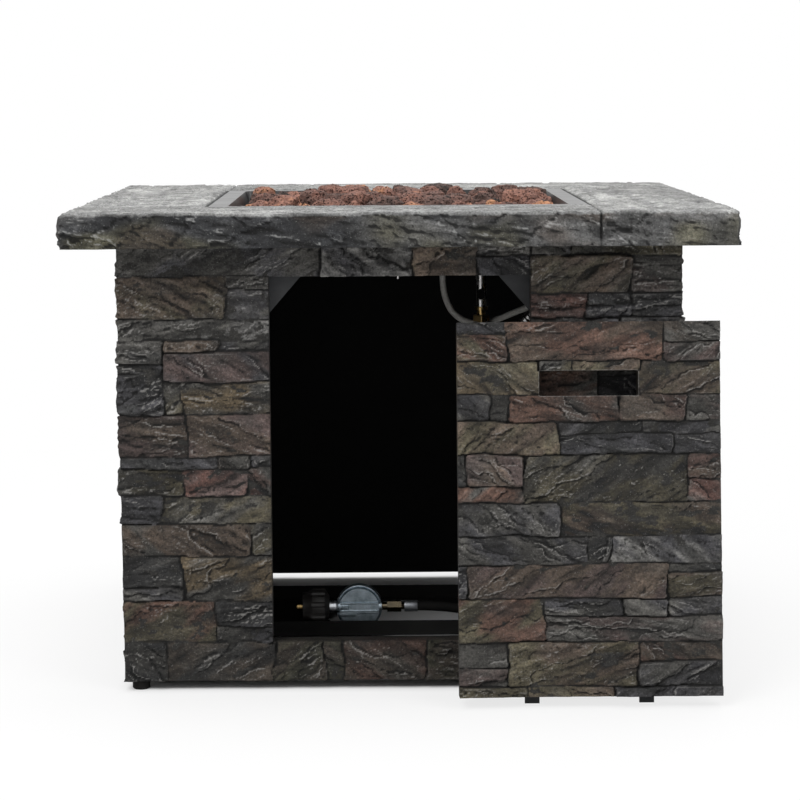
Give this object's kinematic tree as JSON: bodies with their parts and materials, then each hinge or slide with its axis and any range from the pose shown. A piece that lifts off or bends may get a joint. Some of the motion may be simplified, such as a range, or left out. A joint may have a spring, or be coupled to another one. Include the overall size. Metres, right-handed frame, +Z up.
{
  "type": "gas fire pit table",
  "caption": "Square stacked-stone gas fire table with a ring burner under lava rock, a tank bay with tray, regulator and hose, and a lift-off stone door with a finger slot.",
  "frame": {"origin": "on the floor under the centre of the table", "axes": "+Z up, the doorway faces -Y, the control plate faces +X"},
  "size_m": [0.813, 0.86, 0.6147],
  "materials": {
    "cast_stone": "rough cast, washed in slate, rust and olive",
    "slab_stone": "cast, slate grain",
    "lava_stone": "porous",
    "black_paint": "semi-gloss",
    "dark_steel": "satin",
    "galvanised_steel": "zinc plated",
    "stainless": "bright",
    "bright_chrome": "bright",
    "zinc_casting": "die-cast",
    "brass": "turned",
    "black_plastic": "moulded",
    "black_rubber": "matt",
    "white_ceramic": "matt",
    "battery_metal": "printed sleeve left plain",
    "glass_sleeve": "woven glass"
  },
  "bodies": {
    "table": {"back_wall": "cast_stone", "burner_nuts": "stainless", "burner_ring": "stainless", "burner_studs": "stainless", "connector_nuts": "brass", "control_plate": "black_paint", "corner_angles": "galvanised_steel", "door_stops": "dark_steel", "fire_pan": "black_paint", "front_wall": "cast_stone", "gas_connector": "stainless", "gas_hose": "black_rubber", "gas_orifice": "brass", "gas_valve": "brass", "heat_sleeve": "glass_sleeve", "hose_ferrules": "galvanised_steel", "igniter_battery": "battery_metal", "igniter_body": "black_plastic", "igniter_hood": "stainless", "igniter_locknut": "black_plastic", "inlet_neck": "bright_chrome", "inlet_nipple": "brass", "lava_rocks": "lava_stone", "left_wall": "cast_stone", "mixer_locknut": "stainless", "mixer_tube": "stainless", "outlet_fitting": "brass", "regulator_body": "zinc_casting", "regulator_cover": "zinc_casting", "right_wall": "cast_stone", "rubber_feet": "black_rubber", "slab_brackets": "galvanised_steel", "spark_electrode": "white_ceramic", "tank_tray": "galvanised_steel", "thermocouple": "stainless", "top_slab": "slab_stone", "valve_fitting": "brass"},
    "door": {"door_panel": "cast_stone", "door_tabs": "galvanised_steel", "door_magnets": "dark_steel"},
    "valve_stem": {"valve_stem": "stainless"},
    "control_knob": {"control_knob": "black_plastic"},
    "igniter_button": {"igniter_button": "black_plastic"},
    "coupling_nut": {"coupling_nut": "black_plastic"}
  },
  "joints": [
    {"name": "door_lift_away", "type": "slide", "parent": "table", "child": "door", "axis": [0, -1, 0], "range_m": [0, 0.3]},
    {"name": "knob_turn", "type": "hinge", "parent": "table", "child": "valve_stem", "pos_m": [0.34, -0.1035, 0.462], "axis": [1, 0, 0], "range_deg": [0, 180]},
    {"name": "knob_push", "type": "slide", "parent": "valve_stem", "child": "control_knob", "axis": [-1, 0, 0], "range_m": [0, 0.004], "stiffness_N_per_m": 1500},
    {"name": "igniter_push", "type": "slide", "parent": "table", "child": "igniter_button", "axis": [-1, 0, 0], "range_m": [0, 0.004], "stiffness_N_per_m": 1200},
    {"name": "nut_spin", "type": "hinge", "parent": "table", "child": "coupling_nut", "pos_m": [-0.11, -0.093, 0.0503], "axis": [1, 0, 0], "continuous": true}
  ]
}
